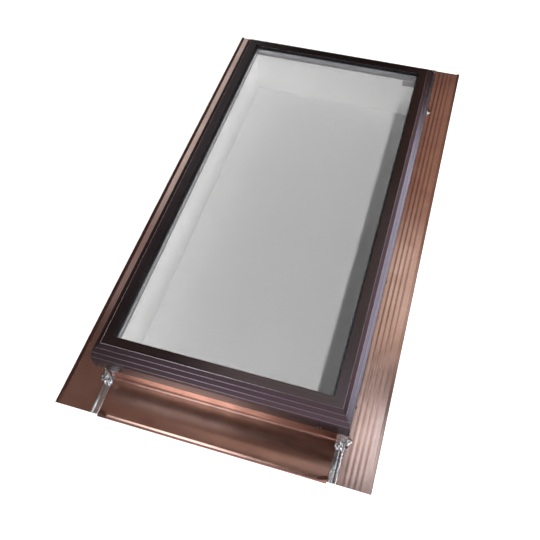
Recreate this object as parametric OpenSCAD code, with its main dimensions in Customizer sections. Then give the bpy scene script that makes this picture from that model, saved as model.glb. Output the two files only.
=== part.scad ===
// Fixed roof skylight: a soldered copper pan around a board curb, an insulating
// glass unit on a vinyl glazing frame, and a fluted aluminium cap that holds the glass.
// +Z is up from the roof deck, +Y runs up the roof to the head, and the origin is
// at the middle of the pan's underside. All sizes are in millimetres.

/* [Light well and curb] */
// Clear width of the light well
well_w = 508; // [400:1:700]
// Clear length of the light well
well_l = 1075; // [800:1:1400]
// Thickness of the curb boards
curb_t = 38; // [34:1:50]
// Height of the curb boards
curb_h = 134; // [115:1:180]

/* [Copper pan] */
// Thickness of the copper sheet
sheet_t = 0.7; // [0.5:0.1:1]
// Width of the left flange
flange_left = 103; // [88:1:160]
// Width of the right flange
flange_right = 92; // [88:1:160]
// Depth of the apron in front of the curb
flange_front = 99; // [70:1:160]
// Depth of the pan behind the curb
flange_head = 206; // [100:1:300]
// Inside radius of the bends
bend_r = 3; // [2:0.5:4]
// Width of the soldered lap at each corner
lap_w = 20; // [14:1:24]
// Width that turns in over the top of the curb
turn_w = 24; // [16:1:28]
// Distance that the apron's front lip reaches past the side flanges
lip_out = 4.5; // [2:0.5:8]
// Width of the folded hems
hem_w = 8; // [7:1:12]
// Height of the ribs along the side flanges
rib_h = 0.2; // [0.1:0.1:1.2]
// Spacing of the ribs
rib_pitch = 13; // [10:1:14]

/* [Glass unit] */
// Thickness of each pane
pane_t = 4; // [3:0.5:6]
// Gap between the panes
cavity = 12; // [9:1:16]
// Width of the spacer bar
spacer_w = 12; // [8:1:12]
// Width of the sealant outside the spacer bar
sealant_w = 6; // [4:1:6]
// Thickness of the foam tape under the glass
tape_t = 3; // [2:0.5:4]

/* [Glazing frame] */
// Thickness of the flange that lies on the curb
frame_t = 4; // [3:0.5:5]
// Wall thickness of the legs
frame_wall = 2.4; // [2:0.2:3]
// Height of the upstand beside the glass
dam_h = 19; // [14:1:19]

/* [Retaining cap] */
// Wall thickness of the cap
cap_t = 2.2; // [1.8:0.1:2.6]
// Distance from the light well out to the lip's inner edge
sight = 5.6; // [3:0.1:8]
// Width of the flat lip over the glass
lip_w = 23.5; // [20:0.5:28]
// Depth of the cap from its top to the foot of its skirt
cap_h = 84.5; // [70:0.5:95]
// Height of the rubber gasket between lip and glass
gasket_h = 6.1; // [4:0.1:8]
// Radius of the bright beads along the shoulder
bead_r = 1.2; // [0.5:0.1:1.4]
// Radius of the fine reeds on the skirt
reed_r = 0.6; // [0.4:0.1:0.8]

/* [Fasteners] */
// Radius of the cap screws
screw_r = 2.1; // [1.6:0.1:2.4]
// Length of the cap screws
screw_l = 41; // [35:1:45]

/* [Hidden] */
$fn = 48;

// Sides of every frame, counted round from the sill
SILL = 0;
RIGHT = 1;
HEAD = 2;
LEFT = 3;

fit = 0.1;           // clearance between neighbours that only touch
leg_fit = 0.3;       // clearance between nested legs
over = 1;            // how far a cutter runs past what it cuts
arc_n = 6;           // straight steps along a bend or a hem

// The copper box round the curb, and the whole pan
board_w = well_w + 2 * curb_t;
board_l = well_l + 2 * curb_t;
box_w = board_w + 2 * sheet_t;
box_l = board_l + 2 * sheet_t;
pan_l = flange_front + box_l + flange_head;
curb_x = (flange_left - flange_right) / 2;
curb_y = (flange_front - flange_head + lip_out) / 2;

// Levels from the deck up
copper_z = curb_h + sheet_t;
frame_z = copper_z + frame_t;
glass_z = frame_z + tape_t;
cavity_z = glass_z + pane_t;
outer_z = cavity_z + cavity;
gasket_z = outer_z + pane_t;
lip_z = gasket_z + gasket_h;
top_z = lip_z + cap_t;

// Distances outward from the face of the light well
unit_s = spacer_w + sealant_w;
block_t = 3.5;
block_l = 60;
spacer_wall = 0.5;   // wall of the hollow spacer bar
tape_inset = 3;      // how far the tape stops short of the edge of the glass
dam_s = unit_s + block_t;
box_s = curb_t + sheet_t;
leg_gap = 5.2;       // hollow between the copper and the glazing frame's outer leg
skirt_gap = 4.6;     // hollow between that leg and the cap's skirt
leg_s = box_s + leg_gap;
leg_out_s = leg_s + frame_wall;
skirt_s = leg_out_s + skirt_gap + cap_t;
leg_foot_z = top_z - cap_h + 2;

// Section of the cap as [distance outward from the lip's edge, height below the top]
skirt_out = skirt_s - sight;
shoulder = [[lip_w, 0], [lip_w + 0.38 * (skirt_out - lip_w), -9],
    [skirt_out - 6.5, -20], [skirt_out - 1.5, -37]];
cap_path = concat([[0, 0]], shoulder, [[skirt_out, -50], [skirt_out, -cap_h]]);
groove_s = 11.5;
groove_w = 1;
groove_d = 0.6;
foot_r = 1.3;
reed_first = 50;
reed_pitch = 8.5;
mitre_gap = 0.1;
screw_rise = 7.2;    // height of the cap screws above the foot of the skirt
washer_r = 5;
// as many reeds as fit above the washers
reed_n = 1 + floor((cap_h - screw_rise - washer_r - reed_first - reed_r) / reed_pitch);
screw_z = top_z - cap_h + screw_rise;

// Flange details
lap_in = box_w / 2 - lap_w / 2;
lap_out = box_w / 2 + lap_w / 2 + 1.3;
lap_z = sheet_t + fit;
plate_z = lap_z + sheet_t;
lip_fold = 7;
bend_end = 6;
rib_start = 24;
rib_n = 4;
rib_steps = 8;
hem_r = 0.9;
hem_lift = 1.5;      // how far the free edge of a hem springs open

// Solder
blob_r = 20;
blob_h = 7;
seam_h = 0.8;
seam_foot = 4.5;
riser_r = 3.5;
bend_clear = bend_end - sheet_t;
seam_thin = 2;       // width over which the solder thins out inwards
seam_round = 1.5;    // how far its crown runs past the edge of the lap

// Fastener details
pilot = 0.05;
screw_inset = 14.3;
head_r = 3.2;
head_h = 1.6;
washer_h = 0.9;
nail_r = 1.2;
nail_head_r = 3.5;
nail_head_h = 1;
nail_inset = 60;
nail_l = 24;
nail_z = 116;
wood_screw_r = 2.2;
wood_screw_l = 70;
wood_head_r = 4.4;
wood_head_h = 3;
curb_screw_at = [0.25, 0.55];
frame_screw_s = 31;
frame_screw_l = 30;
frame_screw_inset = 30;
pan_head_r = 4;
pan_head_h = 2.4;

// ---- Shared shapes ----

function unit(v) = v / norm(v);
function perp(v) = [-v[1], v[0]];
function step_in(p, i) = unit(i == 0 ? p[1] - p[0] : p[i] - p[i - 1]);
function step_out(p, i) = unit(i == len(p) - 1 ? p[i] - p[i - 1] : p[i + 1] - p[i]);
// A path moved sideways by d, with its corners mitred
function beside(p, d) = [for (i = [0 : len(p) - 1])
    let (a = perp(step_in(p, i)), b = perp(step_out(p, i))) p[i] + d * (a + b) / (1 + a * b)];
function reversed(p) = [for (i = [len(p) - 1 : -1 : 0]) p[i]];
function arc(c, r, from, to) = [for (i = [0 : arc_n])
    c + r * [cos(from + (to - from) * i / arc_n), sin(from + (to - from) * i / arc_n)]];

// A folded sheet of thickness t along the middle line p
module sheet(p, t) {
    polygon(concat(beside(p, t / 2), reversed(beside(p, -t / 2))));
}

module at_curb() {
    translate([curb_x, curb_y, 0]) children();
}

// Lays a section drawn as [distance outward, height] along one side of a w by l opening
module lay_side(side, w, l, run) {
    rotate([0, 0, 90 * side])
        translate([0, -(side % 2 == 0 ? l : w) / 2, 0])
            rotate([90, 0, -90])
                for (i = [0 : $children - 1]) linear_extrude(run, center = true) children(i);
}

// The same with both ends mitred, for a section that lies between s0 and s1
module mitred_side(side, w, l, s0, s1, gap = mitre_gap) {
    run = side % 2 == 0 ? w : l;
    intersection() {
        for (i = [0 : $children - 1]) lay_side(side, w, l, run + 2 * s1 + 2 * over) children(i);
        rotate([0, 0, 90 * side])
            translate([0, -(side % 2 == 0 ? l : w) / 2, -over])
                linear_extrude(top_z + 2 * over)
                    polygon([[-run / 2 - s0 + gap, -s0], [run / 2 + s0 - gap, -s0],
                        [run / 2 + s1 - gap, -s1], [-run / 2 - s1 + gap, -s1]]);
    }
}

// A flat rectangular ring between two distances outward from the light well
module ring(s0, s1, z0, z1) {
    translate([0, 0, z0]) linear_extrude(z1 - z0) difference() {
        square([well_w + 2 * s1, well_l + 2 * s1], center = true);
        square([well_w + 2 * s0, well_l + 2 * s0], center = true);
    }
}

// Puts a fastener at equal steps along every side, outward along -Y
module around(ends, sides, inset) {
    for (side = [SILL : LEFT]) {
        is_end = side % 2 == 0;
        n = is_end ? ends : sides;
        span = (is_end ? well_w : well_l) - 2 * inset;
        for (i = [0 : n - 1])
            rotate([0, 0, 90 * side])
                translate([span * (i / (n - 1) - 0.5), -(is_end ? well_l : well_w) / 2, 0])
                    children();
    }
}

// ---- Fasteners and the holes that they need ----

// A rod that points outward, from distance s0 to s1
module rod(r, s0, s1, z) {
    translate([0, -s0, z]) rotate([90, 0, 0]) cylinder(r = r, h = s1 - s0);
}

module cap_screw_places() {
    around(2, 4, screw_inset) children();
}

module cap_screw_holes(clear) {
    cap_screw_places() rod(screw_r + clear, skirt_s - screw_l - over, skirt_s + over, screw_z);
}

module nail_places() {
    around(4, 6, nail_inset) children();
}

module nail_holes() {
    nail_places() rod(nail_r + pilot, box_s - nail_l - over, box_s + over, nail_z);
}

module frame_screw_places() {
    around(3, 5, frame_screw_inset) children();
}

module frame_screw_holes() {
    frame_screw_places()
        translate([0, -frame_screw_s, frame_z - frame_screw_l - over])
            cylinder(r = screw_r + pilot, h = frame_screw_l + 2 * over);
}

// Two screws at each corner, through a side board into the end of a sill or head board
module curb_screw_places() {
    for (x = [-1, 1], y = [-1, 1], z = curb_screw_at)
        translate([x * board_w / 2, y * (well_l + curb_t) / 2, z * curb_h])
            rotate([0, 90 * x, 0]) children();
}

module curb_screw(clear) {
    translate([0, 0, -wood_screw_l]) cylinder(r = wood_screw_r + clear, h = wood_screw_l);
    translate([0, 0, -wood_head_h]) cylinder(r = wood_head_r + clear, h = wood_head_h);
}

module cap_screws() {
    color("#2b2626") at_curb() cap_screw_places() {
        rod(screw_r, skirt_s - screw_l, skirt_s + washer_h, screw_z);
        rod(head_r, skirt_s + washer_h, skirt_s + washer_h + head_h, screw_z);
    }
}

module screw_washers() {
    color("#9c8e86") at_curb() cap_screw_places() difference() {
        rod(washer_r, skirt_s, skirt_s + washer_h, screw_z);
        rod(screw_r + fit, skirt_s - over, skirt_s + washer_h + over, screw_z);
    }
}

module flashing_nails() {
    color("#a8633f") at_curb() nail_places() {
        rod(nail_r, box_s - nail_l, box_s, nail_z);
        rod(nail_head_r, box_s, box_s + nail_head_h, nail_z);
    }
}

module frame_screws() {
    color("#b9bcbf") at_curb() frame_screw_places() translate([0, -frame_screw_s, 0]) {
        translate([0, 0, frame_z - frame_screw_l]) cylinder(r = screw_r, h = frame_screw_l);
        translate([0, 0, frame_z]) cylinder(r = pan_head_r, h = pan_head_h);
    }
}

module curb_screws() {
    color("#b9bcbf") at_curb() curb_screw_places() curb_screw(0);
}

// ---- Curb ----

module curb_board(size) {
    color("#eceae6") difference() {
        translate([-size[0] / 2, -size[1] / 2, 0]) cube(size);
        children();
    }
}

module curb_holes() {
    cap_screw_holes(pilot);
    nail_holes();
    frame_screw_holes();
    curb_screw_places() curb_screw(pilot);
}

module curb_side(x) {
    at_curb() difference() {
        translate([x * (well_w + curb_t) / 2, 0, 0]) curb_board([curb_t, board_l, curb_h]);
        curb_holes();
    }
}

module curb_end(y) {
    at_curb() difference() {
        translate([0, y * (well_l + curb_t) / 2, 0])
            curb_board([well_w - 2 * fit, curb_t, curb_h]);
        curb_holes();
    }
}

module curb_left() { curb_side(-1); }
module curb_right() { curb_side(1); }
module curb_sill() { curb_end(-1); }
module curb_head() { curb_end(1); }

module blank_plate() {
    plate = [38, 0.8, 20];
    color("#a6a6a5") at_curb()
        translate([well_w / 2 - plate[0] - over, well_l / 2 - plate[1], curb_h - plate[2] - 0.5])
            cube(plate);
}

// ---- Copper pan ----

// Upstand with its turn-over and bend, as [distance outward from the boards, height]
function upstand(z) = concat([[-turn_w, copper_z - sheet_t / 2], [sheet_t / 2, copper_z - sheet_t / 2]],
    arc([sheet_t + bend_r, z + sheet_t + bend_r], bend_r + sheet_t / 2, 180, 270));
// Ribs as a run of rounded waves
function ribs() = [for (i = [0 : rib_n * rib_steps])
    [rib_start + rib_pitch * i / rib_steps,
        sheet_t / 2 + rib_h * (1 - cos(360 * i / rib_steps)) / 2]];
// Edge folded up and back over itself
function hem(edge, z) = concat(
    arc([edge - hem_r - sheet_t / 2, z + sheet_t / 2 + hem_r], hem_r, -90, 90),
    [[edge - hem_w, z + sheet_t / 2 + 2 * hem_r + hem_lift]]);

module flashing_side(flange) {
    edge = sheet_t + flange;
    color("#9c6f5f") difference() {
        translate([board_w / 2, 0, 0]) {
            rotate([90, 0, 0]) linear_extrude(box_l, center = true)
                sheet(concat(upstand(0), ribs(), hem(edge, 0)), sheet_t);
            for (end = [[-box_l / 2, flange_front], [box_l / 2 + flange_head, flange_head]])
                translate([0, end[0], 0]) rotate([90, 0, 0]) linear_extrude(end[1])
                    sheet(concat([[lap_in - board_w / 2, sheet_t / 2]], ribs(), hem(edge, 0)),
                        sheet_t);
        }
        cap_screw_holes(fit);
        nail_holes();
        frame_screw_holes();
    }
}

module flashing_right() { at_curb() flashing_side(flange_right); }
module flashing_left() { at_curb() mirror([1, 0, 0]) flashing_side(flange_left); }

// One strip of an end flashing, laid along the sill or the head
module end_strip(side, width, path) {
    lay_side(side, board_w, board_l, width) sheet(path, sheet_t);
}

module end_flashing(side, flange) {
    mid = lap_z + sheet_t / 2;
    fold = sheet_t + flange - lip_fold;
    end_strip(side, board_w - 2 * turn_w - 2 * fit,
        [[-turn_w, copper_z - sheet_t / 2], [sheet_t / 2, copper_z - sheet_t / 2],
            [sheet_t / 2, curb_h - over]]);
    end_strip(side, board_w - 2 * fit,
        concat([[sheet_t / 2, curb_h - fit]], arc([sheet_t + bend_r, lap_z + sheet_t + bend_r],
            bend_r + sheet_t / 2, 180, 270), [[bend_end, mid]]));
    end_strip(side, 2 * lap_out, [[bend_end, mid], [fold, mid]]);
    for (x = [-1, 1]) translate([x * (lap_out + lap_in) / 2, 0, 0])
        end_strip(side, lap_out - lap_in, [[fold, mid], [fold + lip_fold, mid]]);
}

module end_flashing_cut() {
    color("#8d5f50") difference() {
        children();
        cap_screw_holes(fit);
        nail_holes();
        frame_screw_holes();
    }
}

module apron() {
    fold = sheet_t + flange_front - lip_fold;
    at_curb() end_flashing_cut() {
        end_flashing(SILL, flange_front);
        end_strip(SILL, 2 * lap_in, [[fold, lap_z + sheet_t / 2],
            [sheet_t + flange_front + lip_out, sheet_t / 2]]);
    }
}

module head_flashing() {
    fold = sheet_t + flange_head - lip_fold;
    at_curb() end_flashing_cut() {
        end_flashing(HEAD, flange_head);
        end_strip(HEAD, 2 * lap_in,
            concat([[fold, lap_z + sheet_t / 2]], hem(sheet_t + flange_head, lap_z)));
    }
}

// ---- Solder ----

// A lap seam, its blob at the corner of the curb and the riser up that corner,
// drawn for the front right corner
module corner_solder(flange) {
    corner = [box_w / 2, -box_l / 2];
    ball_r = (pow(blob_r, 2) + pow(blob_h, 2)) / (2 * blob_h);
    riser_top = leg_foot_z - seam_thin;
    seam = [[lap_in, plate_z], [lap_in + seam_thin, plate_z + seam_h / 2],
        [lap_out - 2 * seam_thin, plate_z + seam_h],
        [lap_out + seam_round, plate_z + seam_h / 2],
        [lap_out + seam_foot, sheet_t], [lap_out + fit, sheet_t], [lap_out + fit, plate_z]];
    color("#c9c5c1") {
        translate([0, corner[1] - bend_end, 0]) rotate([90, 0, 0])
            linear_extrude(flange - bend_end) polygon(seam);
        difference() {
            union() {
                translate([corner[0], corner[1], plate_z - ball_r + blob_h]) sphere(r = ball_r);
                translate([corner[0], corner[1], 0]) cylinder(r = riser_r, h = riser_top);
            }
            // below the flat sheets
            translate([0, corner[1] - 2 * ball_r, -2 * ball_r])
                cube([2 * box_w, 4 * ball_r, 2 * ball_r + sheet_t]);
            translate([0, corner[1] - 2 * ball_r, -over])
                cube([lap_out + fit, 2 * ball_r - bend_end + 2 * sheet_t, plate_z + over]);
            // the copper box, and the bends at its foot
            translate([0, corner[1], 0]) cube([corner[0], 2 * ball_r, top_z]);
            translate([0, corner[1], 0]) cube([corner[0] + bend_clear, 2 * ball_r, bend_clear]);
            translate([0, corner[1] - bend_clear, 0])
                cube([corner[0], 2 * ball_r, bend_clear + lap_z]);
        }
    }
}

module solder_front_right() { at_curb() corner_solder(flange_front); }
module solder_front_left() { at_curb() mirror([1, 0, 0]) corner_solder(flange_front); }
module solder_head_right() { at_curb() mirror([0, 1, 0]) corner_solder(flange_head); }
module solder_head_left() {
    at_curb() mirror([1, 0, 0]) mirror([0, 1, 0]) corner_solder(flange_head);
}

// ---- Glazing frame and glass unit ----

module glazing_frame_section() {
    translate([0, copper_z]) square([leg_out_s, frame_t]);
    translate([dam_s, copper_z]) square([frame_wall, frame_t + dam_h]);
    translate([leg_s, leg_foot_z]) square([frame_wall, frame_z - leg_foot_z]);
    translate([box_s + leg_fit, leg_foot_z])
        square([skirt_s - cap_t - box_s - 2 * leg_fit, frame_wall]);
}

module glazing_frame(side) {
    color("#8f9092") at_curb() difference() {
        mitred_side(side, well_w, well_l, 0, skirt_s) glazing_frame_section();
        cap_screw_holes(fit);
        frame_screw_holes();
    }
}

module glazing_frame_left() { glazing_frame(LEFT); }
module glazing_frame_right() { glazing_frame(RIGHT); }
module glazing_frame_sill() { glazing_frame(SILL); }
module glazing_frame_head() { glazing_frame(HEAD); }

module glazing_tape() {
    color("#b4b4b2") at_curb() ring(over, unit_s - tape_inset, frame_z, glass_z);
}

module block() {
    translate([-block_l / 2, -dam_s, frame_z]) cube([block_l, block_t, dam_h - over]);
}

module setting_blocks() {
    color("#1d1d1f") at_curb() translate([0, -well_l / 2, 0])
        for (x = [-0.25, 0.25]) translate([x * well_w, 0, 0]) block();
}

module edge_blocks() {
    color("#1d1d1f") at_curb() for (side = [RIGHT : LEFT], x = [-0.3, 0.3]) {
        is_end = side % 2 == 0;
        rotate([0, 0, 90 * side])
            translate([x * (is_end ? well_w : well_l), -(is_end ? well_l : well_w) / 2, 0]) block();
    }
}

module pane(z) {
    size = [well_w + 2 * unit_s, well_l + 2 * unit_s, pane_t];
    color("#c8d8d4", 0.35) at_curb() translate([-size[0] / 2, -size[1] / 2, z]) cube(size);
}

module outer_pane() { pane(outer_z); }
module inner_pane() { pane(glass_z); }

module spacer_bar() {
    color("#cfd1d2") at_curb() difference() {
        ring(0, spacer_w, cavity_z, outer_z);
        ring(spacer_wall, spacer_w - spacer_wall, cavity_z + spacer_wall, outer_z - spacer_wall);
    }
}

module desiccant() {
    inset = spacer_wall + fit;
    color("#d9cfae") at_curb()
        ring(inset, spacer_w - inset, cavity_z + inset, outer_z - inset);
}

module edge_sealant() {
    color("#333336") at_curb() ring(spacer_w, unit_s, cavity_z, outer_z);
}

// ---- Retaining cap ----

module cap_sheet() {
    translate([sight, top_z]) difference() {
        sheet(beside(cap_path, -cap_t / 2), cap_t);
        translate([groove_s, -groove_d]) square([groove_w, groove_d + over]);
    }
}

module cap_beads() {
    translate([sight, top_z]) {
        for (p = shoulder) translate(p + [-bead_r / 2, -bead_r / 2]) circle(r = bead_r);
        for (i = [0 : reed_n - 1])
            translate([skirt_out - reed_r / 2, -reed_first - i * reed_pitch]) circle(r = reed_r);
        translate([skirt_out - cap_t / 2, foot_r - cap_h]) circle(r = foot_r);
    }
}

module cap(side) {
    color("#4a3b3a") at_curb() difference() {
        mitred_side(side, well_w, well_l, sight, skirt_s + reed_r) {
            cap_sheet();
            cap_beads();
        }
        cap_screw_holes(fit);
    }
}

module cap_left() { cap(LEFT); }
module cap_right() { cap(RIGHT); }
module cap_sill() { cap(SILL); }
module cap_head() { cap(HEAD); }

module cap_gasket() {
    color("#161616") at_curb() ring(sight + 0.6, unit_s, gasket_z, lip_z);
}

// Flat angles under the lip, across each mitre
module corner_keys() {
    arm = 55;
    key_t = 3;
    key_w = 8;
    s = sight + lip_w - 3 - key_w;
    color("#b5b8ba") at_curb() for (x = [-1, 1], y = [-1, 1])
        translate([x * (well_w / 2 + s), y * (well_l / 2 + s), lip_z - key_t])
            scale([x, y, 1]) translate([-arm, -arm, 0]) difference() {
                cube([arm + key_w, arm + key_w, key_t]);
                translate([-over, -over, -over]) cube([arm + over, arm + over, key_t + 2 * over]);
            }
}

flashing_left();
flashing_right();
apron();
head_flashing();
solder_front_left();
solder_front_right();
solder_head_left();
solder_head_right();
flashing_nails();
curb_left();
curb_right();
curb_sill();
curb_head();
curb_screws();
blank_plate();
glazing_frame_left();
glazing_frame_right();
glazing_frame_sill();
glazing_frame_head();
frame_screws();
glazing_tape();
setting_blocks();
edge_blocks();
outer_pane();
inner_pane();
spacer_bar();
desiccant();
edge_sealant();
cap_left();
cap_right();
cap_sill();
cap_head();
cap_gasket();
corner_keys();
cap_screws();
screw_washers();
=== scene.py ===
# %% [markdown]
# # A fixed roof skylight with a soldered copper pan
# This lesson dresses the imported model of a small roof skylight. An insulating glass unit lies on
# a curb of white boards, a dark bronze cap of four mitred extrusions holds it down, and a pan of
# folded copper, soldered at its four corners, carries rain round it. The exact solids come from
# the frame, and this script gives them their finishes and swaps the few handmade pieces, which
# exact solids can't show, for modelled ones.

# %% Load the frame
import math

import bmesh
import bpy
from mathutils import Matrix, Vector, noise


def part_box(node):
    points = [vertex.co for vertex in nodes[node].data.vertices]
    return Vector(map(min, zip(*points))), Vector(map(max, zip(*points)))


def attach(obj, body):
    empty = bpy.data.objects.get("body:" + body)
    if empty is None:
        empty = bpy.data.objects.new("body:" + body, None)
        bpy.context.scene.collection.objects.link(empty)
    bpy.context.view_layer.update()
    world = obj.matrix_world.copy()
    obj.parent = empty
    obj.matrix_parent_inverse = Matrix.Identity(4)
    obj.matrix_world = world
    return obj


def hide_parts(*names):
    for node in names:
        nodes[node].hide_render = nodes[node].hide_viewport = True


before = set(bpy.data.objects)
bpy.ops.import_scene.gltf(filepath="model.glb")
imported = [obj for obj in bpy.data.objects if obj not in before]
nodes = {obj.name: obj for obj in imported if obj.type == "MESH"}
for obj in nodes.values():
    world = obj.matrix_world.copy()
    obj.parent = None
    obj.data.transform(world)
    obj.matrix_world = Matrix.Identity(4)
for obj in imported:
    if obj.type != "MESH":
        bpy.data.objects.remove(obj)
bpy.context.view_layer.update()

MM = 0.001

# %% [markdown]
# ## The camera
# A tall object lying on a table is best taken from well above its lower end, turned a little
# to the right, so that the front, the right flange and the inside of the light well all show.
# A camera is easiest to place by the point that it looks at. The roll tips it slightly, as a
# camera on a boom often is.

# %% Camera
camera_place = Vector((0.3179, -1.1467, 1.4675))
looks_at = Vector((0.0003, -0.2126, 0.0))
roll = math.radians(-2.36)
LENS = 42.93    # millimetres, on the default 36 mm sensor

camera = bpy.data.objects.new("camera", bpy.data.cameras.new("camera"))
camera.data.lens = LENS
camera.location = camera_place
aim = (looks_at - camera_place).to_track_quat("-Z", "Y")
camera.rotation_euler = (aim @ Matrix.Rotation(roll, 3, "Z").to_quaternion()).to_euler()
bpy.context.scene.collection.objects.link(camera)
bpy.context.scene.camera = camera
print("camera is", round((looks_at - camera_place).length, 3), "m from the deck")

# %% [markdown]
# ## One helper for every material
# A procedural material is a small graph of nodes. One function adds a node, sets its settings
# and links its inputs, and each material below reads from top to bottom in the order in which
# its layers were made on the real object. Colours are written as sRGB hex, as a paint chart
# gives them, and turned to linear light once. The room at the end is built with the same helper.

# %% Colour and node helpers
def srgb(code):
    """A hex colour such as "#B8735A" as linear red, green, blue and alpha."""
    parts = [int(code[i:i + 2], 16) / 255 for i in (1, 3, 5)]
    return [c / 12.92 if c <= 0.04045 else ((c + 0.055) / 1.055) ** 2.4 for c in parts] + [1.0]


def start_material(name):
    """A new material with its own Principled shader."""
    material = bpy.data.materials.new(name)
    material.use_nodes = True
    return material, material.node_tree.nodes["Principled BSDF"]


def add(owner, kind, inputs=None, **settings):
    """Adds a node to a material or the world. Each input is a value, or an output to link."""
    made = owner.node_tree.nodes.new(kind)
    for name, value in settings.items():
        setattr(made, name, value)
    fill(owner, made, inputs or {})
    return made


def fill(owner, made, inputs):
    """Sets or links a node's inputs."""
    for name, value in inputs.items():
        if isinstance(value, bpy.types.NodeSocket):
            owner.node_tree.links.new(value, made.inputs[name])
        else:
            made.inputs[name].default_value = value


def finish_with(material, *names):
    """Gives the material to CAD nodes by name."""
    for name in names:
        for place in nodes[name].material_slots:
            place.material = material
    print(material.name, "on", ", ".join(names))


# %% [markdown]
# ## Copper sheet
# The pan is folded from mill-finish copper that has aged in a warehouse for a while. It keeps a
# satin shine, and shows fine lines along the direction in which it was rolled, cloudy patches of
# thin oxide, and small spots. Thin sheet is never quite flat, so a long, shallow bump bends its
# reflections. The two end sheets were wiped with flux when their corners were soldered, which has
# left them smoother to the touch and a little duller. Their darker, redder colour is painted
# shade, which makes the ends read darker than the sides.

# %% Copper material
# how many fit in a metre. The rolling lines are drawn coarser than real, so that they show
LINES, CLOUDS, SPOTS = 420, 11.0, 240.0
# depth in metres of the sheet's waves and of its rolling lines, by rolling direction
DEPTHS = {"X": (0.0004, 0.000003), "Y": (0.0008, 0.000015)}


def make_copper(name, base, shade, along, smoothest, roughest):
    """Rolled copper sheet. along is the way it was rolled, X for the ends and Y for the sides."""
    material, shader = start_material(name)
    place = add(material, "ShaderNodeTexCoord").outputs["Object"]
    lines_scale = (4, LINES, 60) if along == "X" else (LINES, 4, 60)
    stretched = add(material, "ShaderNodeMapping", {"Vector": place, "Scale": lines_scale})
    lines = add(material, "ShaderNodeTexNoise", {
        "Vector": stretched.outputs[0], "Scale": 1.0, "Detail": 4.0})
    # clouds of oxide some 90 mm across, and brown spots of about 4 mm
    clouds = add(material, "ShaderNodeTexNoise", {
        "Vector": place, "Scale": CLOUDS, "Detail": 5.0, "Distortion": 0.6})
    spots = add(material, "ShaderNodeTexNoise", {"Vector": place, "Scale": SPOTS, "Detail": 2.0})
    cloud_range = add(material, "ShaderNodeMapRange", {
        "Value": clouds.outputs[0], "From Min": 0.35, "From Max": 0.7,
        "To Min": 0.0, "To Max": 1.0})
    tone = add(material, "ShaderNodeMix", {
        0: cloud_range.outputs[0], 6: srgb(base), 7: srgb(shade)}, data_type="RGBA")
    spot_mask = add(material, "ShaderNodeMapRange", {
        "Value": spots.outputs[0], "From Min": 0.62, "From Max": 0.75,
        "To Min": 0.0, "To Max": 0.22})
    spotted = add(material, "ShaderNodeMix", {
        0: spot_mask.outputs[0], 6: tone.outputs[2], 7: srgb("#6B4335")}, data_type="RGBA")
    rough = add(material, "ShaderNodeMapRange", {
        "Value": lines.outputs[0], "From Min": 0.3, "From Max": 0.7,
        "To Min": smoothest, "To Max": roughest})
    # waves some 150 mm across and 400 mm along the rolling direction
    wave_depth, line_depth = DEPTHS[along]
    waves_scale = (2.5, 6.5, 6.5) if along == "X" else (6.5, 2.5, 6.5)
    drawn = add(material, "ShaderNodeMapping", {"Vector": place, "Scale": waves_scale})
    waves = add(material, "ShaderNodeTexNoise", {
        "Vector": drawn.outputs[0], "Scale": 1.0, "Detail": 1.0})
    wavy = add(material, "ShaderNodeBump", {
        "Height": waves.outputs[0], "Distance": wave_depth, "Strength": 1.0})
    lined = add(material, "ShaderNodeBump", {
        "Height": lines.outputs[0], "Distance": line_depth, "Strength": 0.6,
        "Normal": wavy.outputs[0]})
    # a thin film of rolling oil gives the strongest lights a paler shine
    fill(material, shader, {"Base Color": spotted.outputs[2], "Metallic": 1.0,
                            "Roughness": rough.outputs[0], "Normal": lined.outputs[0],
                            "Coat Weight": 0.8, "Coat Roughness": 0.2})
    return material


copper_sides = make_copper("rolled_copper_lengthwise", "#CCAA9D", "#BE988A", "Y", 0.13, 0.22)
# the ends' darker, redder colours are painted shade
copper_ends = make_copper("rolled_copper_crosswise", "#C69A87", "#B08472", "X", 0.20, 0.25)
finish_with(copper_sides, "flashing_left", "flashing_right")
finish_with(copper_ends, "apron", "head_flashing")

# %% [markdown]
# ## Anodised aluminium
# The cap is extruded aluminium, anodised dark bronze: a hard, slightly glossy skin with fine
# lines along the extrusion. It reads nearly black where it faces a dark room, and mauve where it
# mirrors a bright one.

# %% Bronze anodised material
# how far each ridge of the shoulder lies below the crown, in millimetres
RIDGE_DROPS = (0, 9.5, 20.5, 37.5)
# half the width of the painted highlight along each ridge, and where it has faded out
HIGHLIGHT_CORE, HIGHLIGHT_EDGE = 0.2, 0.55
cap_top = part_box("cap_sill")[1][2] / MM
print("ridges at", [round(cap_top - drop, 1) for drop in RIDGE_DROPS], "mm")


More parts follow.
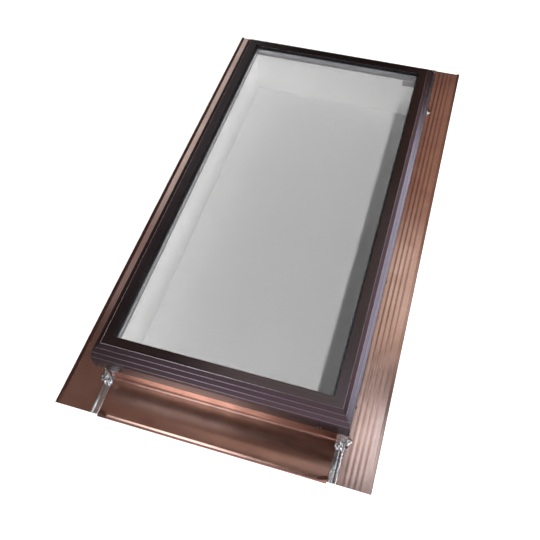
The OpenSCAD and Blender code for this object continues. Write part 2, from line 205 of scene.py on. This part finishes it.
def make_bronze(name, along):
    """Dark anodised extrusion, with its die lines along X or Y."""
    material, shader = start_material(name)
    place = add(material, "ShaderNodeTexCoord").outputs["Object"]
    # die lines about a millimetre apart across the section
    lines_scale = (2, 900, 900) if along == "X" else (900, 2, 900)
    stretched = add(material, "ShaderNodeMapping", {"Vector": place, "Scale": lines_scale})
    lines = add(material, "ShaderNodeTexNoise", {
        "Vector": stretched.outputs[0], "Scale": 1.0, "Detail": 2.0})
    haze = add(material, "ShaderNodeTexNoise", {"Vector": place, "Scale": 22.0, "Detail": 4.0})
    tone = add(material, "ShaderNodeMix", {
        0: haze.outputs[0], 6: srgb("#544A4B"), 7: srgb("#5E5354")}, data_type="RGBA")
    # a paler band along every ridge of the shoulder is a painted highlight
    height = add(material, "ShaderNodeSeparateXYZ", {0: place}).outputs[2]
    ridge_highlight = None
    for drop in RIDGE_DROPS:
        off = add(material, "ShaderNodeMath", {0: height, 1: (cap_top - drop) * MM},
                  operation="SUBTRACT")
        away = add(material, "ShaderNodeMath", {0: off.outputs[0]}, operation="ABSOLUTE")
        near = add(material, "ShaderNodeMapRange", {
            "Value": away.outputs[0], "From Min": HIGHLIGHT_CORE * MM, "From Max": HIGHLIGHT_EDGE * MM,
            "To Min": 1.0, "To Max": 0.0})
        if ridge_highlight:
            near = add(material, "ShaderNodeMath", {0: ridge_highlight, 1: near.outputs[0]},
                       operation="MAXIMUM")
        ridge_highlight = near.outputs[0]
    # the ridges are painted this pale mauve as a highlight
    paler = add(material, "ShaderNodeMix", {
        0: ridge_highlight, 6: tone.outputs[2], 7: srgb("#A59B9E")}, data_type="RGBA")
    rough = add(material, "ShaderNodeMapRange", {
        "Value": haze.outputs[0], "To Min": 0.18, "To Max": 0.27})
    lined = add(material, "ShaderNodeBump", {
        "Height": lines.outputs[0], "Distance": 0.00001, "Strength": 0.5})
    fill(material, shader, {"Base Color": paler.outputs[2], "Metallic": 1.0,
                            "Roughness": rough.outputs[0], "Normal": lined.outputs[0]})
    return material


bronze_sides = make_bronze("bronze_anodised_lengthwise", "Y")
bronze_ends = make_bronze("bronze_anodised_crosswise", "X")
finish_with(bronze_sides, "cap_left", "cap_right")
finish_with(bronze_ends, "cap_sill", "cap_head")

# %% [markdown]
# ## Glass
# Float glass bends and mirrors light. A pane in front of a lit room also lets lamps through,
# which a path tracer finds slowly, so rays from lamps are let straight through by a Transparent
# shader, and the camera still sees real glass.

# %% Glass material
def make_glass():
    """Clear float glass that lets lamps through."""
    material, shader = start_material("float_glass")
    fill(material, shader, {"Base Color": srgb("#D9D9D9"), "Roughness": 0.0, "IOR": 1.5,
                            "Transmission Weight": 1.0})
    path = add(material, "ShaderNodeLightPath")
    either = add(material, "ShaderNodeMath", {
        0: path.outputs["Is Shadow Ray"], 1: path.outputs["Is Diffuse Ray"]}, operation="MAXIMUM")
    clear = add(material, "ShaderNodeBsdfTransparent", {"Color": srgb("#FCFCFC")})
    both = add(material, "ShaderNodeMixShader", {
        0: either.outputs[0], 1: shader.outputs[0], 2: clear.outputs[0]})
    fill(material, material.node_tree.nodes["Material Output"], {"Surface": both.outputs[0]})
    return material


finish_with(make_glass(), "outer_pane", "inner_pane")


# %% [markdown]
# ## Plainer finishes
# The curb is painted softwood, the glazing frame is grey vinyl, and the rest is rubber, foam,
# bare metal and sealant. They share one recipe: a base colour with a soft mottle, a roughness
# that varies a little, and a fine bump at the size of the real surface's grain.

# %% Plain finishes
def make_plain(name, light, dark, rough, grain, height, metal=0.0, stretch=(1, 1, 1)):
    """A mottled finish. grain is how many bumps there are to a metre, height how tall they are."""
    material, shader = start_material(name)
    place = add(material, "ShaderNodeTexCoord").outputs["Object"]
    stretched = add(material, "ShaderNodeMapping", {"Vector": place, "Scale": stretch})
    mottle = add(material, "ShaderNodeTexNoise", {
        "Vector": stretched.outputs[0], "Scale": grain, "Detail": 4.0})
    cloud = add(material, "ShaderNodeTexNoise", {"Vector": place, "Scale": 9.0, "Detail": 3.0})
    both = add(material, "ShaderNodeMath", {0: mottle.outputs[0], 1: cloud.outputs[0]},
               operation="MULTIPLY")
    share = add(material, "ShaderNodeMapRange", {
        "Value": both.outputs[0], "From Min": 0.12, "From Max": 0.4})
    tone = add(material, "ShaderNodeMix", {
        0: share.outputs[0], 6: srgb(light), 7: srgb(dark)}, data_type="RGBA")
    uneven = add(material, "ShaderNodeMapRange", {
        "Value": mottle.outputs[0], "To Min": rough - 0.06, "To Max": rough + 0.06})
    bumped = add(material, "ShaderNodeBump", {
        "Height": mottle.outputs[0], "Distance": height, "Strength": 1.0})
    fill(material, shader, {"Base Color": tone.outputs[2], "Metallic": metal,
                            "Roughness": uneven.outputs[0], "Normal": bumped.outputs[0]})
    return material


# brushed paint has its strokes along each board
PAINT = ("#FAFAFA", "#F1F1F0", 0.5, 60, 0.0002)
finish_with(make_plain("white_paint_lengthwise", *PAINT, stretch=(8, 0.6, 8)),
            "curb_left", "curb_right")
finish_with(make_plain("white_paint_crosswise", *PAINT, stretch=(0.6, 8, 8)),
            "curb_sill", "curb_head")

# %% Small parts
# light and dark tone, roughness, grains to a metre, their height in metres, how metallic it is,
# and the parts that wear it
SMALL_PARTS = {
    "grey_vinyl": ("#9B9C9E", "#8A8B8D", 0.42, 300, 0.00005, 0.0,
                   ("glazing_frame_left", "glazing_frame_right",
                    "glazing_frame_sill", "glazing_frame_head")),
    "grey_plate": ("#ACACAB", "#A0A09F", 0.6, 400, 0.00003, 0.0, ("blank_plate",)),
    "closed_cell_foam": ("#BDBDBB", "#A9A9A7", 0.85, 1500, 0.0001, 0.0, ("glazing_tape",)),
    "black_rubber": ("#1B1B1C", "#111112", 0.6, 900, 0.00004, 0.0,
                     ("cap_gasket", "setting_blocks", "edge_blocks")),
    "dark_sealant": ("#37373A", "#2B2B2E", 0.5, 500, 0.0001, 0.0, ("edge_sealant",)),
    "desiccant_beads": ("#DDD3B4", "#BDB18E", 0.8, 900, 0.0004, 0.0, ("desiccant",)),
    "mill_aluminium": ("#D2D4D5", "#B9BBBD", 0.34, 500, 0.00003, 1.0,
                       ("spacer_bar", "corner_keys")),
    "zinc_plate": ("#C9CCCE", "#A9ACAF", 0.32, 700, 0.00003, 1.0,
                   ("frame_screws", "curb_screws")),
    "bare_copper": ("#B4714F", "#8C5439", 0.35, 700, 0.00003, 1.0, ("flashing_nails",)),
    "black_screw": ("#2A2727", "#1B1919", 0.4, 700, 0.00003, 0.4, ("cap_screws",)),
    "bright_washer": ("#B9AEA6", "#8F857E", 0.35, 700, 0.00003, 1.0, ("screw_washers",)),
}
for finish, (*recipe, wearers) in SMALL_PARTS.items():
    finish_with(make_plain(finish, *recipe), *wearers)

# %% [markdown]
# ## A helper for the new pieces
# Every new piece is one mesh at the origin. It rides on the only body, takes the finish that it
# is given, and hides the plain solid that it stands for.

# %% New piece helper
def new_piece(name, shape, material, slot, *stands_for):
    """Turns a bmesh into a smooth-shaded piece that replaces CAD nodes."""
    bmesh.ops.recalc_face_normals(shape, faces=shape.faces)
    for face in shape.faces:
        face.smooth = True
    made = bpy.data.objects.new(name, bpy.data.meshes.new(name))
    shape.to_mesh(made.data)
    shape.free()
    made.data.materials.append(material)
    bpy.context.scene.collection.objects.link(made)
    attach(made, "root")
    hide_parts(*stands_for)
    print(name, "has", len(made.data.polygons), "faces")
    return made


def ease(low, high, value):
    """0 below low, 1 above high, and a smooth step between them."""
    share = min(max((value - low) / (high - low), 0.0), 1.0)
    return share * share * (3 - 2 * share)


# %% [markdown]
# ## The apron
# The apron is one sheet. It turns down the front of the curb, and bends out to lie on the deck.
# A press brake leaves such a bend a little open, so the sheet still stands about a millimetre off
# the deck there, and lies down over the next few centimetres. That bends what it mirrors. The
# exact solid is dead flat, so the sheet is modelled again: a line of a few points down the front
# of the curb is extruded sideways in steps, the flat is lifted near the bend, and Solidify gives
# it the thickness of the sheet.

# %% Apron measures
# all in millimetres, across from the middle of the curb and out from its front
SHEET = 0.7                     # thickness of the copper
LAP_IN, LAP_OUT = 282.7, 304.0  # the soldered laps
BOX_HALF = 292.7                # outer face of the copper box round the curb
BEND = 3.8                      # radius of the bend
LYING = 1.5                     # the flat lies this high, over the side sheets
TURN_UP = 22                    # the top edge turns in over the curb this far
LIP = 92.7                      # the front edge turns down beyond here
RISE, RISE_FADE = 1.2, 18       # what the open bend holds up, and how soon that dies away
HELD_FROM, HELD_BY = 240, 282   # toward the laps the solder holds the sheet down
WAVE, WAVE_SIZE = 0.15, 70      # slight waves of the flat
middle_x = (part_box("curb_left")[0][0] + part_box("curb_right")[1][0]) / 2 / MM
front_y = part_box("curb_right")[0][1] / MM    # outer face of the sill boards
curb_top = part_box("curb_right")[1][2] / MM
apron_out = front_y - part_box("apron")[0][1] / MM
print("curb middle", round(middle_x, 2), "front", round(front_y, 2),
      "apron reaches", round(apron_out, 2))


# %% Apron section
def apron_rise(out, across):
    """How far the open bend holds the sheet off the deck. The soldered ends are held down."""
    return RISE * math.exp(-(out - 5) / RISE_FADE) * (1 - ease(HELD_FROM, HELD_BY, abs(across)))


section = [(-TURN_UP, curb_top + SHEET), (SHEET, curb_top + SHEET)]
section += [(SHEET, z) for z in (120, 90, 60, 30, 12)]
section += [(SHEET + BEND - BEND * math.cos(math.radians(t)),
             LYING + BEND - BEND * math.sin(math.radians(t))) for t in range(0, 91, 15)]
section += [(out, LYING) for out in (7, 9, 12, 15, 18, 22, 26, 31, 37, 44, 53, 63, 74, 84, LIP)]
section += [(apron_out, SHEET)]
apron = bmesh.new()
line = [apron.verts.new((middle_x - LAP_OUT, front_y - out, z)) for out, z in section]
edges = [apron.edges.new(pair) for pair in zip(line, line[1:])]

# %% Apron sheet
STEPS = 24
stops = [-LAP_OUT, -BOX_HALF + 0.9, -LAP_IN]
stops += [-LAP_IN + 2 * LAP_IN * k / STEPS for k in range(1, STEPS + 1)]
stops += [BOX_HALF - 0.9, LAP_OUT]
for here, there in zip(stops, stops[1:]):
    grown = bmesh.ops.extrude_edge_only(apron, edges=edges)["geom"]
    edges = [g for g in grown if isinstance(g, bmesh.types.BMEdge)]
    moved = [g for g in grown if isinstance(g, bmesh.types.BMVert)]
    bmesh.ops.translate(apron, verts=moved, vec=(there - here, 0, 0))


def cut_away(face):
    """The sheet is notched beside the box, and its lip stops at the laps."""
    spot = face.calc_center_median()
    across, out = abs(spot.x - middle_x), front_y - spot.y
    return (across > BOX_HALF - 1 and out < 7) or (across > LAP_IN and out > LIP)


bmesh.ops.delete(apron, geom=[f for f in apron.faces if cut_away(f)], context="FACES")
for v in apron.verts:
    out, across = front_y - v.co.y, v.co.x - middle_x
    if out > 1 and v.co.z < 20:
        wave = WAVE * noise.noise(Vector((v.co.x / WAVE_SIZE, v.co.y / WAVE_SIZE, 3.0)))
        lifted = max(wave, 0) * ease(8, 20, out) * (1 - ease(50, 90, out))
        v.co.z += apron_rise(out, across) * (1 - ease(1.6, 20, v.co.z)) + lifted
bmesh.ops.recalc_face_normals(apron, faces=apron.faces)
if sum(f.normal.z for f in apron.faces) < 0:
    bmesh.ops.reverse_faces(apron, faces=apron.faces)
bmesh.ops.scale(apron, verts=apron.verts, vec=(MM, MM, MM))
bmesh.ops.solidify(apron, geom=apron.faces, thickness=SHEET * MM)
for v in apron.verts:
    v.co.z = max(v.co.z, 0.0)    # the turned lip rests on the deck
new_piece("apron_sheet", apron, copper_ends, "copper_sheet", "apron")

# %% [markdown]
# ## Solder
# The laps at the four corners are soldered. The seam is wiped along the lap with an iron: a thin,
# streaky layer on the inner side, and a round bead along the lap's edge. At the foot of the curb
# the solder is poured thick, and freezes in a lumpy puddle round the corner. A fine grid over
# each corner is a quick way to model this. Cells outside the puddle are deleted, the rest is
# extruded into a closed slab, and its upper side is lifted by what is measured from the corner.
# A thin skin also climbs the upright seam of the copper box, as a line of points spun round it.

# %% Solder material
solder = make_plain("cast_solder", "#F2F0EE", "#B5AFAC", 0.22, 200, 0.0002, metal=1.0)


# %% Solder thickness
# all in millimetres: the wiped layer on the inner side of a lap, the bead along the lap's edge,
# and the puddle round the corner
LAYER = 0.7
BEAD_MIDDLE, BEAD_HALF, BEAD_TALL = 17.4, 4.4, 2.4
PUDDLE_REACH, PUDDLE_TALL = 22, 7.0
# where the puddle sank as it froze: out, front, depth and spread
DENTS = ((4, 9, 3.6, 22), (-4, 16, 2.0, 14))


def bead(off, half, tall):
    """Height of a round bead at a distance from its middle."""
    return tall * math.sqrt(max(0.0, 1 - (off / half) ** 2))


def solder_height(out, front, seed):
    """Thickness of the solder, out from the side and front from the end of the curb."""
    grain = noise.noise(Vector((out / 5, front / 5, seed)))
    drift = noise.noise(Vector((front / 18, seed, 2.0)))
    across = out - (LAP_IN - BOX_HALF)
    wiped = (LAYER + 0.12 * grain) * ease(-0.5, 2.5, across + 1.5 * drift)
    wiped *= 1 - ease(11, 12.6, across)
    ridge = bead(across - BEAD_MIDDLE - 0.5 * drift, BEAD_HALF + 0.2 * drift,
                 BEAD_TALL + 0.3 * drift + 0.12 * grain)
    seam = max(wiped, ridge) if front > 4 else 0.0
    lumps = noise.noise(Vector((out / 9, front / 9, seed + 5)))
    far = math.hypot(out * (0.85 if out > 0 else 1.0), front) + 3.5 * lumps
    puddle = bead(far, PUDDLE_REACH, PUDDLE_TALL)
    puddle += (1.8 * grain + 1.2 * drift) * (1 - ease(15, PUDDLE_REACH, far))
    dent = sum(deep * math.exp(-((out - x) ** 2 + (front - y) ** 2) / spread)
               for x, y, deep, spread in DENTS)
    return max(seam, puddle - dent)


# %% Solder up the box
# all in millimetres: how far the skin stands off the corner, where it starts and ends, the steps
# it climbs in, and its thickness
RISER_OFF, RISER_FOOT, RISER_TOP, RISER_STEP, RISER_SKIN = 3.2, 2.6, 82, 4.0, 1.2


def add_riser(shape, corner_x, corner_y, side, end, seed):
    """A thin skin of solder up the corner of the copper box."""
    rising = [shape.verts.new((corner_x, corner_y - end * RISER_OFF, RISER_FOOT))]
    edges = []
    while rising[-1].co.z < RISER_TOP:
        higher = bmesh.ops.extrude_vert_indiv(shape, verts=[rising[-1]])
        rising += higher["verts"]
        edges += higher["edges"]
        bmesh.ops.translate(shape, verts=higher["verts"], vec=(0, 0, RISER_STEP))
    first = len(shape.faces)
    # the box fills a quarter of the circle, so the skin goes round the other three
    bmesh.ops.spin(shape, geom=rising + edges, cent=(corner_x, corner_y, 0), axis=(0, 0, 1),
                   angle=side * end * math.radians(270), steps=18)
    shape.faces.ensure_lookup_table()
    skin = shape.faces[first:]
    for v in {v for f in skin for v in f.verts}:
        wobble = 1 + 0.25 * noise.noise(Vector((v.co.x / 6, v.co.y / 6, v.co.z / 9 + seed)))
        v.co.x = corner_x + (v.co.x - corner_x) * wobble
        v.co.y = corner_y + (v.co.y - corner_y) * wobble
    bmesh.ops.solidify(shape, geom=skin, thickness=RISER_SKIN)


# %% Solder at one corner
# all in millimetres
CELL = 1.2                                      # cells of the grid
GRID_WIDE, GRID_IN, GRID_BACK = 40.0, 12, 24    # its width, and its start behind the corner
THINNEST = 0.12                                 # thinner solder than this is left out
ON_LAP, ON_DECK = 1.55, 0.75                    # height of what the solder lies on


def cast_corner(name, side, end, reach, seed):
    """One soldered corner. side is -1 for left and 1 for right, end -1 for sill and 1 for head."""
    corner_x = middle_x + side * BOX_HALF
    corner_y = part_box("curb_right")[(end + 1) // 2][1] / MM + end * SHEET
    long = reach + GRID_BACK
    shape = bmesh.new()
    bmesh.ops.create_grid(shape, x_segments=int(GRID_WIDE / CELL), y_segments=int(long / CELL),
                          size=0.5)
    bmesh.ops.scale(shape, verts=shape.verts, vec=(GRID_WIDE, long, 1))
    bmesh.ops.translate(shape, verts=shape.verts,
                        vec=(GRID_WIDE / 2 - GRID_IN, long / 2 - GRID_BACK, 0))

    def empty(face):
        spot = face.calc_center_median()
        return (spot.x < 0.1 and spot.y < 0.1) or solder_height(spot.x, spot.y, seed) < THINNEST

    bmesh.ops.delete(shape, geom=[f for f in shape.faces if empty(f)], context="FACES")
    grown = bmesh.ops.extrude_face_region(shape, geom=shape.faces[:])["geom"]
    upper = {g for g in grown if isinstance(g, bmesh.types.BMVert)}
    for v in shape.verts:
        on_lap = v.co.x < LAP_OUT - BOX_HALF + 0.1 and v.co.y > 6
        thick = max(0.05, solder_height(v.co.x, v.co.y, seed)) if v in upper else 0.0
        v.co.z = (ON_LAP if on_lap else ON_DECK) + thick
    bmesh.ops.scale(shape, verts=shape.verts, vec=(side, end, 1))
    bmesh.ops.translate(shape, verts=shape.verts, vec=(corner_x, corner_y, 0))
    add_riser(shape, corner_x, corner_y, side, end, seed)
    bmesh.ops.scale(shape, verts=shape.verts, vec=(MM, MM, MM))
    return new_piece(name + "_cast", shape, solder, "solder", name)


# %% Four soldered corners
front_reach = -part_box("flashing_right")[0][1] / MM + front_y - SHEET
head_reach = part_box("flashing_right")[1][1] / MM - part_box("curb_right")[1][1] / MM - SHEET
print("laps reach", round(front_reach, 1), "mm in front and", round(head_reach, 1), "mm behind")
cast_corner("solder_front_right", 1, -1, front_reach, 1.0)
cast_corner("solder_front_left", -1, -1, front_reach, 2.0)
cast_corner("solder_head_right", 1, 1, head_reach, 3.0)
cast_corner("solder_head_left", -1, 1, head_reach, 4.0)

# %% [markdown]
# ## Floor
# The unit lies on a white sheet, which the lamps wash out. The well is open below, and a grey card
# under it is painted shade: the same white sheet drawn darker, as in the shade of the well, so the
# glass shows something darker than the painted boards. Both are left out of mirrored rays, because
# a white floor would bleach every face of the cap.

# %% Floor
def lay_sheet(name, half_width, half_length, depth, color):
    """A flat sheet of the set, depth metres below the deck."""
    shape = bmesh.new()
    bmesh.ops.create_grid(shape, x_segments=1, y_segments=1, size=1.0)
    bmesh.ops.scale(shape, verts=shape.verts, vec=(half_width, half_length, 1.0))
    bmesh.ops.translate(shape, verts=shape.verts, vec=(0, 0, -depth))
    sheet = bpy.data.objects.new(name, bpy.data.meshes.new(name))
    shape.to_mesh(sheet.data)
    shape.free()
    bpy.context.scene.collection.objects.link(sheet)
    material, shader = start_material(name)
    fill(material, shader, {"Base Color": srgb(color), "Roughness": 0.9})
    sheet.data.materials.append(material)
    sheet.visible_glossy = False
    print(name, "is", 2 * half_width, "by", 2 * half_length, "m")


lay_sheet("pale_floor", 12.0, 12.0, 0.0004, "#F8F8F8")
# the grey card under the well is painted shade
lay_sheet("well_shade_card", 0.28, 0.56, 0.0002, "#E2E2E2")

# %% [markdown]
# ## Lamps and cards
# Two kinds of lamp do different jobs. A small key, high on the right, draws the shadow in the
# well, and three wide fills soften it. None of them shows in metal. Shiny metal shows what it
# mirrors rather than what falls on it, so a card hangs wherever a flange, a lip or a facet of the
# cap looks for light. Cards light nothing. A polarising filter keeps such cards off glass but not
# off metal, and light linking does the same here.

# %% Lamp helper
filtered = bpy.data.collections.new("filtered_glass")
for pane in ("outer_pane", "inner_pane"):
    filtered.objects.link(nodes[pane])
for member in filtered.collection_objects:
    member.light_linking.link_state = "EXCLUDE"


def softbox(name, place, target, width, height, power, tint="#FFFFFF"):
    """A rectangular lamp that faces a point, or straight down if there is none."""
    lamp = bpy.data.lights.new(name, "AREA")
    lamp.shape = "RECTANGLE"
    lamp.size, lamp.size_y = width, height
    lamp.energy = power * math.pi * width * height
    lamp.color = srgb(tint)[:3]
    holder = bpy.data.objects.new(name, lamp)
    holder.location = place
    facing = Vector(target or (place[0], place[1], 0.0)) - Vector(place)
    holder.rotation_euler = facing.to_track_quat("-Z", "Y").to_euler()
    bpy.context.scene.collection.objects.link(holder)
    return holder


# %% Lamps that light
LAMPS = (    # name, place, target, width, height, brightness
    ("key", (1.66, -1.2, 5.0), (0.1, -0.1, 0.0), 0.3, 0.3, 1130.0),
    ("fill_high", (2.2, 1.5, 2.3), (0.0, 0.1, 0.0), 1.4, 0.9, 6.5),
    ("fill_right", (3.4, 0.0, 1.0), (0.0, 0.0, 0.1), 2.0, 0.6, 31.0),
    ("fill_front", (0.2, -3.6, 0.85), (0.0, 0.0, 0.1), 2.0, 0.6, 24.0),
)
for row in LAMPS:
    lit = softbox(*row)
    lit.visible_glossy = lit.visible_transmission = False
print(len(LAMPS), "lamps")

# %% Cards that metal mirrors
OVER = 3.0    # most cards hang this high
CARDS = (    # name, place, target, width, height, brightness, tint
    ("over_front_right", (1.15, 0.485, OVER), None, 1.7, 0.57, 2.05, "#DDF0FF"),
    ("over_pan", (1.1, 1.8, OVER), None, 1.8, 1.2, 0.95, "#FFFCF6"),
    ("over_lip", (0.24, 1.05, OVER), None, 0.13, 0.9, 1.4),
    ("over_head", (1.1, 3.5, OVER), None, 1.8, 2.2, 0.36, "#FFD5C0"),
    ("over_sill", (-0.3, 0.5, OVER), None, 0.9, 0.2, 2.5),
    ("over_front", (-0.85, -2.0, OVER), None, 0.76, 2.7, 5.0, "#E4F4FF"),
    ("high_right", (3.6, 0.0, 2.4), (0.2, 0.0, 0.0), 1.0, 2.0, 5.0),
    ("back_left", (-2.28, 3.9, OVER), None, 1.1, 3.4, 1.35, "#E8F8FF"),
    ("left", (-2.03, 1.6, OVER), None, 0.8, 1.2, 0.38, "#F4F4FF"),
    ("front_left", (-1.55, 0.13, OVER + 0.02), None, 3.5, 0.96, 0.135, "#FFDCCE"),
    ("side_rim", (2.6, 1.75, 0.3), (0.3, 1.75, 0.3), 2.9, 0.7, 0.8, "#FFDCE0"),
    ("side_low", (2.6, 1.6, -0.78), (0.3, 1.6, -0.78), 2.6, 1.25, 3.5, "#D6DFF8"),
    ("side_deep", (2.6, 2.7, -3.2), (0.3, 2.7, -3.2), 3.4, 2.0, 1.7, "#DAE0F4"),
)
for row in CARDS:
    card = softbox(*row)
    card.visible_diffuse = False
    card.light_linking.receiver_collection = filtered
print(len(CARDS), "cards")

# %% [markdown]
# ## The room
# The room round the lamps is plain, and lights everything softly. Shiny metal sees a different
# room: dim and warm, as in a workshop, with a pale mauve haze low in front of the unit, where the
# shoulder of the cap looks. Light Path tells a mirrored ray from the others, and the ray's own
# direction says how much haze it meets.

# %% Room
# linear red, green, blue and alpha
DIM_WALLS = [0.07, 0.046, 0.040, 1.0]
PALE_HAZE = [0.84, 0.72, 0.84, 1.0]
SOFT_FILL = [0.29, 0.29, 0.29, 1.0]

scene = bpy.context.scene
scene.view_settings.view_transform = "Standard"
studio = scene.world = bpy.data.worlds.new("studio")
studio.use_nodes = True
direction = add(studio, "ShaderNodeSeparateXYZ", {
    0: add(studio, "ShaderNodeTexCoord").outputs["Generated"]})
low = add(studio, "ShaderNodeMapRange", {
    "Value": direction.outputs[2], "From Min": 0.6, "From Max": 0.45})
front = add(studio, "ShaderNodeMapRange", {
    "Value": direction.outputs[1], "From Min": 0.05, "From Max": -0.2})
right = add(studio, "ShaderNodeMapRange", {
    "Value": direction.outputs[0], "From Min": -0.40, "From Max": -0.24, "To Min": 0.2})
low_front = add(studio, "ShaderNodeMath", {0: low.outputs[0], 1: front.outputs[0]},
                operation="MULTIPLY")
haze = add(studio, "ShaderNodeMath", {0: low_front.outputs[0], 1: right.outputs[0]},
           operation="MULTIPLY")
mirrored = add(studio, "ShaderNodeMix", {0: haze.outputs[0], 6: DIM_WALLS, 7: PALE_HAZE},
               data_type="RGBA")
ray = add(studio, "ShaderNodeLightPath")
tone = add(studio, "ShaderNodeMix", {
    0: ray.outputs["Is Glossy Ray"], 6: SOFT_FILL, 7: mirrored.outputs[2]}, data_type="RGBA")
fill(studio, studio.node_tree.nodes["Background"], {"Color": tone.outputs[2]})
print("room has", len(studio.node_tree.nodes), "nodes")
